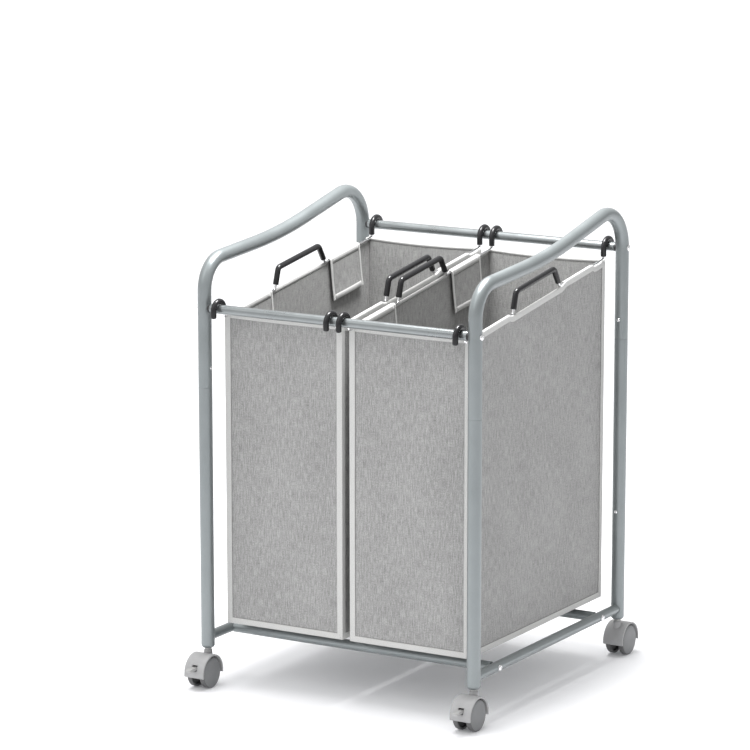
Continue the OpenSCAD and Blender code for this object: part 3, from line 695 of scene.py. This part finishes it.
def hook_line(s):
    """Centre line of one hook's sleeve; s is -1 at the front bar and 1 at the rear bar."""
    bar = BF if s < 0 else BR
    leg = F_LEG if s < 0 else R_LEG
    drop = DROPS[s] + 1.3
    pts = walk(-HOOK_R, -HOOK_LOW - drop, 0, [("run", drop), ("turn", HOOK_R, 180, 1), ("run", leg)], 7.0)
    return [((-s) * y + s * SPAN_Y / 2, z + bar[2]) for y, z in pts]


def grip_line():
    y, z = -GRIP_BASE, 0.0
    h = 90 - GT
    d = cut(BEND, GT) + 5.0
    y, z = y + sin(h) * d, z + cos(h) * d
    pts = walk(y, z, h, [
        ("run", LEG_RUN - 5), ("turn", GRIP_R, GT, 1), ("run", TOP_RUN), ("turn", GRIP_R, GT, 1),
        ("run", LEG_RUN - 5)], 6.0)
    c, s = cos(SLOPE), sin(SLOPE)
    return [(y * c - z * s, WIRE_MID + y * s + z * c) for y, z in pts]


def shift(pts):
    return [(y + Y0, z) for y, z in pts]


VINYL_END = ((-0.8, 1.0), (-0.3, 0.97), (0.0, 0.86))
VINYL_END = ((-0.8, 1.0), (-0.3, 0.97), (0.0, 0.86))
TAPE_W = 9.5


def even(a, b, step):
    n = max(1, int(round(abs(b - a) / step)))
    return [a + (b - a) * i / n for i in range(n + 1)]


class Bag:
    """One bag's box, and where each point of it goes once the cloth hangs."""

    def __init__(self, name):
        self.name = name
        lo, hi = box(name + "_shell")
        self.cx = float(lo[0] + hi[0]) / 2
        self.hw = float(hi[0] - lo[0]) / 2
        self.y0, self.y1 = float(lo[1]) - Y0, float(hi[1]) - Y0
        self.zb = float(lo[2])
        self.seed = rng.uniform(0, 6.28, 32)

    def wave(self, u, v, k):
        s = self.seed
        return (math.sin(u * 0.019 + s[k]) * math.sin(v * 0.011 + s[k + 1])
                + 0.45 * math.sin(u * 0.043 + v * 0.017 + s[k + 2])
                + 0.25 * math.sin(u * 0.011 - v * 0.041 + s[k + 3]))

    def pucker(self, edge, z, phase, drift):
        """Small gathers beside an upright seam, gone a few centimetres away from it."""
        size = 0.28 * math.exp(-edge / 16) * min(1, edge / 5)
        return size * math.sin(z * 0.42 + phase + 0.9 * math.sin(z * drift))

    def top(self, x, y):
        """Top edge: over the wires at the sides; front and rear edges sit a little higher,
        and sag between the two wires."""
        s = abs(y) / cos(SLOPE)
        # over the wire under the flaps, just below it where the wire runs bare
        z = wire_z(y) - 1.2 + 4.1 * min(1.0, max(0.0, (s - 86) / 5)) * min(1.0, max(0.0, (192 - s) / 5))
        near, far = y - self.y0, self.y1 - y
        z += 7.0 * math.exp(-((near / 9.0) ** 2)) + 2.0 * math.exp(-((far / 9.0) ** 2))
        if near < 0.01 or far < 0.01:
            z -= (1.5 if near < 0.01 else 2.6) * (1 - (x / self.hw) ** 2)
        return z

    def at(self, x, y, z, lift=0.0, nx=None):
        """Where the flat box's point goes, lifted off the wall by lift along its outward side.
        The walls pull in between their seams near the top and belly out lower down."""
        hw, y0, y1 = self.hw, self.y0, self.y1
        h = self.top(x, y) - self.zb
        t = min(1.0, max(0.0, (z - self.zb) / h))
        my = (y - (y0 + y1) / 2) / ((y1 - y0) / 2)
        fx, fy = max(0.0, 1 - (x / hw) ** 2), max(0.0, 1 - my ** 2)
        belly = math.sin(math.pi * t ** 0.7)
        s = self.seed
        px, py = x, y
        if abs(abs(x) - hw) < 0.01 and not (y - y0 < 0.01 or y1 - y < 0.01):
            sg = math.copysign(1, x)
            k = 8 if sg > 0 else 12
            d = fy * (2.6 * belly * (1 - 1.15 * t) - 0.8 * t ** 4)
            d += fy ** 0.4 * 0.8 * self.wave(y, z, k) * belly
            edge = min(y - y0, y1 - y)
            d += self.pucker(edge, z, s[20], 0.07)
            px += sg * min(d, 1.9)
        if y - y0 < 0.01 or y1 - y < 0.01:
            sg = -1 if y - y0 < 0.01 else 1
            k = 0 if sg < 0 else 4
            d = fx * (2.2 * belly * (1 - 1.1 * t) - 1.4 * t ** 4)
            d += fx ** 0.4 * 0.6 * self.wave(x, z, k) * (0.15 + belly)
            edge = hw - abs(x)
            d += self.pucker(edge, z, s[21], 0.06)
            py += sg * min(d, 2.4)
        if lift:
            cy = y - y0 < 0.01, y1 - y < 0.01
            n = Vector(nx) if nx else Vector((math.copysign(1, x) if abs(abs(x) - hw) < 0.01 else 0,
                                              -1 if cy[0] else (1 if cy[1] else 0), 0))
            if n.length > 1.2 and not nx:
                n = n * 0.78
            px, py, z = px + n.x * lift, py + n.y * lift, z + n.z * lift
        return Vector((px + self.cx, py + Y0, z))


def bag(side):
    name = "bag_" + side
    b = Bag(name)
    xs = {io: float(mid(f"{name}_wire_{io}")[0]) for io in ("outer", "inner")}
    for io, x in xs.items():
        v, f = sweep(at_x(x, shift(wire_line())), WIRE_R, 20)
        piece(f"rod_{name}_{io}", v, f, WIRE, name, "wire", [f"{name}_wire_{io}"])
    grips, hooks = [], []
    for x in xs.values():
        grips.append(sweep(at_x(x, shift(grip_line())), COAT_R, 28, VINYL_END, VINYL_END))
        for e in (-1, 1):
            hooks.append(sweep(at_x(x, shift(hook_line(e))), COAT_R, 28, ROUND_END, VINYL_END))
    piece("grips_" + name, *merge(grips), VINYL, name, "black_vinyl", [name + "_grips"])
    piece("hooks_" + name, *merge(hooks), VINYL, name, "black_vinyl", [name + "_hooks"])
    shell(b)
    binding(b)
    flaps(b, abs(xs["outer"] - b.cx))


def shell(b):
    """Walls and floor as one sheet."""
    hw, y0, y1 = b.hw, b.y0, b.y1
    xs = even(-hw, hw, 6)
    ys = even(y0, y1, 7)
    ring = [(x, y0) for x in xs] + [(hw, y) for y in ys[1:]] + [(x, y1) for x in xs[::-1][1:]] + \
        [(-hw, y) for y in ys[::-1][1:-1]]
    n, R = len(ring), 78
    us = [0.0]
    for p, q in zip(ring, ring[1:] + ring[:1]):
        us.append(us[-1] + math.hypot(q[0] - p[0], q[1] - p[1]))
    verts, zs = [], []
    for r in range(R + 1):
        for x, y in ring:
            z = b.zb + (b.top(x, y) - b.zb) * r / R
            verts.append(b.at(x, y, z))
            zs.append(z)
    faces, uvs = [], []
    for r in range(R):
        for i in range(n):
            k = (i + 1) % n
            q = (r * n + i, r * n + k, (r + 1) * n + k, (r + 1) * n + i)
            faces.append(q)
            uvs.append([(us[i + (j in (1, 2))] * MM, zs[v] * MM) for j, v in enumerate(q)])
    idx = {(round(x, 2), round(y, 2)): i for i, (x, y) in enumerate(ring)}
    for x in xs:
        for y in ys:
            if (round(x, 2), round(y, 2)) not in idx:
                idx[(round(x, 2), round(y, 2))] = len(verts)
                verts.append(Vector((x + b.cx, y + Y0, b.zb + 0.2)))
    for p, q in zip(xs, xs[1:]):
        for c, d in zip(ys, ys[1:]):
            f = [(p, c), (p, d), (q, d), (q, c)]
            faces.append(tuple(idx[(round(x, 2), round(y, 2))] for x, y in f))
            uvs.append([(x * MM, y * MM) for x, y in f])
    o = piece("cloth_" + b.name, verts, faces, CLOTH, b.name, "bag_cloth", [b.name + "_shell"], 60, uvs)
    t = o.modifiers.new("t", "SOLIDIFY")
    t.thickness, t.offset = 0.9 * MM, -1
    wall = 2 * hw * (b.top(0, y0) + b.top(0, y1) - 2 * b.zb) + 2 * (y1 - y0) * (b.top(hw, 0) - b.zb)
    cloths.append((o, (wall + 2 * hw * (y1 - y0)) * 1e-6, b.name))


def binding(b):
    """Tape folded round every seam: two flat legs and a soft rounded edge between them."""
    hw, y0, y1 = b.hw, b.y0, b.y1
    verts, faces, uvs = [], [], []
    legs = [TAPE_W, 9.1, 7.2, 5.0, 2.8, 1.0]
    lifts = [0.12, 0.55, 0.72, 0.74, 0.74, 0.8]

    def band(rows, vs, flip):
        """rows of points; vs is each row's distance in from the stitched edge."""
        base, m = len(verts), len(rows[0])
        run = [0.0]
        for p, q in zip(rows[len(rows) // 2], rows[len(rows) // 2][1:]):
            run.append(run[-1] + (q - p).length * MM)
        for row in rows:
            verts.extend(row)
        for i in range(len(rows) - 1):
            for j in range(m - 1):
                f = [(i, j), (i, j + 1), (i + 1, j + 1), (i + 1, j)]
                if flip:
                    f = f[::-1]
                faces.append(tuple(base + a * m + c for a, c in f))
                uvs.append([(run[c], vs[a] * MM) for a, c in f])

    full = list(zip(legs, lifts))
    across = [TAPE_W - d for d, _ in full]
    both = across + [TAPE_W] + across[::-1]
    # four upright seams
    for x in (-hw, hw):
        for y, sy in ((y0, 1), (y1, -1)):
            sx = -1 if x > 0 else 1
            h = b.top(x, y) - b.zb
            zs = even(b.zb - 0.5, b.zb + h + 0.3, 5)
            rows = [[b.at(x + sx * d, y, z, l) for z in zs] for d, l in full]
            rows.append([b.at(x, y, z, 1.0) for z in zs])
            rows += [[b.at(x, y + sy * d, z, l) for z in zs] for d, l in full[::-1]]
            band(rows, both, (x > 0) == (y > 0))
    # four seams of the floor
    for y, sy in ((y0, -1), (y1, 1)):
        line = even(-hw + 0.5, hw - 0.5, 6)
        rows = [[b.at(x, y, b.zb + d, l) for x in line] for d, l in full]
        rows.append([b.at(x, y, b.zb, 0.7, (0, sy, -0.7)) for x in line])
        rows += [[b.at(x, y - sy * d, b.zb, l, (0, 0, -1)) for x in line] for d, l in full[::-1]]
        band(rows, both, y > 0)
    for x, sx in ((-hw, -1), (hw, 1)):
        line = even(y0 + 0.5, y1 - 0.5, 7)
        rows = [[b.at(x, y, b.zb + d, l) for y in line] for d, l in full]
        rows.append([b.at(x, y, b.zb, 0.7, (sx, 0, -0.7)) for y in line])
        rows += [[b.at(x - sx * d, y, b.zb, l, (0, 0, -1)) for y in line] for d, l in full[::-1]]
        band(rows, both, x < 0)
    # the top edge, all the way round, folded a little to the inside
    for side in range(4):
        if side % 2 == 0:
            y = y0 if side == 0 else y1
            pts = [(x, y) for x in even(-hw, hw, 6)]
            inn = (0, 1 if side == 0 else -1)
        else:
            x = hw if side == 1 else -hw
            pts = [(x, y) for y in even(y0, y1, 7)]
            inn = (-1 if side == 1 else 1, 0)
        tops = [b.top(x, y) for x, y in pts]
        rows = [[b.at(x, y, t - d, l) for (x, y), t in zip(pts, tops)] for d, l in full]
        for up, into in ((0.55, 0.0), (0.8, 0.5), (0.55, 1.0), (-2.0, 1.25), (-5.0, 1.3)):
            fold = Vector((inn[0] * into, inn[1] * into, 0))
            rows.append([b.at(x, y, t + up) + fold for (x, y), t in zip(pts, tops)])
        band(rows, across + [TAPE_W, TAPE_W, 9, 7, 4], side in (2, 1))
    o = piece("tape_" + b.name, verts, faces, TAPE, b.name, "binding_tape", [b.name + "_binding"], 60, uvs)
    t = o.modifiers.new("t", "SOLIDIFY")
    t.thickness, t.offset = 0.25 * MM, -1.0


def flaps(b, wx):
    """Four flaps that come up the outside, round the wire and down the inside."""
    L, D, B = 96.0, 69.0, 6.0
    r = WIRE_R + 0.75
    grey, tape = ([], [], []), ([], [], [])
    back = b.hw - 1.1 - wx
    for s in (-1, 1):
        for e in (-1, 1):
            s0 = e * (91.0 + L / 2)
            cols = [-L / 2, -L / 2 + 0.5, -L / 2 + B - 0.5, -L / 2 + B]
            cols += even(-L / 2 + B, L / 2 - B, 6)[1:-1] + \
                [L / 2 - B, L / 2 - B + 0.5, L / 2 - 0.5, L / 2]
            prof = [(back, -5.0), (back, -1.5)]
            prof += [(r * math.cos(a), r * math.sin(a)) for a in np.linspace(0.15, math.pi, 13)]
            fold = len(prof) - 1
            prof += [(-r - 0.1, -z) for z in even(2, D - B, 5)] + [(-r - 0.15, 0.5 - D), (-r - 0.15, -D)]
            dist = [0.0]
            for p, q in zip(prof, prof[1:]):
                dist.append(dist[-1] + math.hypot(q[0] - p[0], q[1] - p[1]))
            ph = rng.uniform(0, 6.28, 3)

            def at(u, j, lift):
                px, pz = prof[j]
                t = max(0.0, -pz / D) if j > fold else 0.0
                flare = 1.6 * t * t * (1 + 0.5 * math.sin(u * 0.05 + ph[0]))
                px -= flare + 0.35 * t * math.sin(pz * 0.1 + ph[1])
                k = 1.5 * t * (u / (L / 2)) * math.sin(ph[2])
                nx, nz = (-1.0, 0.0) if j > fold else ((1.0, 0.0) if j < 2 else (px / r, pz / r))
                px, pz = px + lift * nx, pz + lift * nz
                yy = (s0 + u + k) * cos(SLOPE) - pz * sin(SLOPE)
                zz = WIRE_MID + (s0 + u + k) * sin(SLOPE) + pz * cos(SLOPE)
                return Vector((b.cx + s * (wx + px), yy + Y0, zz))

            def patch(to, ci, rj, lift, uv):
                base, m = len(to[0]), len(ci)
                for a, j in enumerate(rj):
                    for c, i in enumerate(ci):
                        to[0].append(at(cols[i], j, lift(a, c)))
                for a in range(len(rj) - 1):
                    for c in range(m - 1):
                        f = [(a, c), (a, c + 1), (a + 1, c + 1), (a + 1, c)]
                        if s < 0:
                            f = f[::-1]
                        to[1].append(tuple(base + p * m + q for p, q in f))
                        to[2].append([uv(rj[p], ci[q]) for p, q in f])

            J, C = len(prof), len(cols)
            patch(grey, range(C), range(J), lambda a, c: 0.0,
                  lambda j, i: (cols[i] * MM + 0.31 * s, dist[j] * MM + 0.21 * e))
            rise = lambda c, m: 0.25 if c in (0, m - 1) else 0.75
            for ci in (range(0, 4), range(C - 4, C)):
                inner = -L / 2 + B if ci[0] == 0 else L / 2 - B
                patch(tape, list(ci), range(1, J), lambda a, c: rise(c, 4),
                      lambda j, i: (dist[j] * MM, abs(cols[i] - inner) * MM))
            lo = [J - 4, J - 3, J - 2, J - 1]
            patch(tape, range(3, C - 3), lo, lambda a, c: rise(a, 4) - 0.1,
                  lambda j, i: (cols[i] * MM, (dist[j] - dist[J - 4]) * MM))
            hi = list(range(1, fold + 3))
            patch(tape, range(3, C - 3), hi, lambda a, c: 0.65,
                  lambda j, i: (cols[i] * MM, (dist[hi[-1]] - dist[j]) * MM))
    o = piece("flaps_" + b.name, *grey[:2], CLOTH, b.name, "bag_cloth", [b.name + "_flaps"], 60, grey[2])
    t = o.modifiers.new("t", "SOLIDIFY")
    t.thickness, t.offset = 0.7 * MM, 0.0
    cloths.append((o, 4 * L * (D + math.pi * r + 5) * 1e-6, b.name))
    q = piece("flap_tape_" + b.name, *tape[:2], TAPE, b.name, "binding_tape", (), 60, tape[2])
    t = q.modifiers.new("t", "SOLIDIFY")
    t.thickness, t.offset = 0.35 * MM, -1.0


cloths = []
bag("left")
bag("right")
for o, area, name in cloths:
    side = math.sqrt(area)

# ---- plain finishes on the parts kept from CAD -------------------------------------------

KEPT = {"top_bar_plugs": DARK, "cross_bar_plugs": DARK, "joint_screws": CHROME, "caster_sockets": DARK}
for n, m in KEPT.items():
    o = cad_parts[n]
    o.data.materials.clear()
    o.data.materials.append(m)

# ---- studio ------------------------------------------------------------------------------

floor = bpy.data.meshes.new("floor")
S = 14.0
floor.from_pydata([(-S, -S, 0), (S, -S, 0), (S, S, 0), (-S, S, 0)], [], [(0, 1, 2, 3)])
fo = bpy.data.objects.new("floor", floor)
scene.collection.objects.link(fo)
# the faint glow lightens the cart's shadow
floor.materials.append(Mat("floor_white", (0.92, 0.92, 0.935), 0.7, Emission_Color=(0.93, 0.96, 1.0, 1),
                           Emission_Strength=0.09).m)
fo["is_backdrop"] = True

world = bpy.data.worlds.new("studio")
scene.world = world
world.use_nodes = True
wt = world.node_tree
wc, wd, wr = (wt.nodes.new("ShaderNode" + k) for k in ("TexCoord", "VectorMath", "ValToRGB"))
# a soft gradient that is brightest towards the upper left front of the cart
wd.operation = "DOT_PRODUCT"
wd.inputs[1].default_value = Vector((-0.66, -0.34, 0.67)).normalized() * 0.5
wt.links.new(wc.outputs["Generated"], wd.inputs[0])
wa = wt.nodes.new("ShaderNodeMath")
wa.operation = "ADD"
wa.inputs[1].default_value = 0.5
wt.links.new(wd.outputs["Value"], wa.inputs[0])
wt.links.new(wa.outputs[0], wr.inputs["Fac"])
SKY = ((0.0, 0.60), (0.3, 0.66), (0.55, 0.84), (0.8, 1.06), (1.0, 1.24))
while len(wr.color_ramp.elements) < len(SKY):
    wr.color_ramp.elements.new(0.5)
for e, (p, k) in zip(wr.color_ramp.elements, SKY):
    e.position, e.color = p, (k, k, k, 1)
wt.links.new(wr.outputs["Color"], wt.nodes["Background"].inputs["Color"])
wt.nodes["Background"].inputs["Strength"].default_value = 0.87
scene.view_settings.view_transform = "Standard"


def aim(o, at, to):
    o.location = at
    o.rotation_mode = "QUATERNION"
    o.rotation_quaternion = (Vector(to) - Vector(at)).to_track_quat("-Z", "Y")
    return o


def sun(name, at, power, soft):
    d = bpy.data.lights.new(name, "SUN")
    d.energy, d.angle = power, math.radians(soft)
    o = bpy.data.objects.new(name, d)
    scene.collection.objects.link(o)
    return aim(o, at, (0, 0, 0))


def panel(name, at, to, size, power):
    d = bpy.data.lights.new(name, "AREA")
    d.shape, d.size, d.size_y, d.energy = "RECTANGLE", size[0], size[1], power
    o = bpy.data.objects.new(name, d)
    scene.collection.objects.link(o)
    return aim(o, at, to)


sun("top", (-0.9, 0.2, 4.6), 1.05, 26)
sun("front_fill", (-1.2, -3.4, 3.4), 0.4, 40)
panel("over_bags", (0, 0.02, 1.6), (0, 0.02, 0), (0.46, 0.44), 30)

# ---- camera: the photograph's viewpoint ----------------------------------------------------

AZ, EL, DIST = 29.828, 12.557, 6.3648
back = Vector((sin(AZ) * cos(EL), -cos(AZ) * cos(EL), sin(EL)))
right = Vector((cos(AZ), sin(AZ), 0))
up = right.cross(-back)
cam = bpy.data.objects.new("camera", bpy.data.cameras.new("camera"))
scene.collection.objects.link(cam)
scene.camera = cam
roll = math.radians(0.097)
cam.location = back * DIST + right * 0.00016 + up * 0.286 + Vector((0, Y0 * MM, FOOT * MM))
basis = Matrix((right, up, back)).transposed()
cam.rotation_euler = (basis @ Matrix.Rotation(roll, 3, "Z")).to_euler()
cam.data.sensor_width = 36
cam.data.lens = 3903.5 / 750 * 36
cam.data.shift_x = -41 / 750
cam.data.shift_y = 82 / 750
cam.data.clip_start, cam.data.clip_end = 0.1, 100

lo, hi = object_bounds()
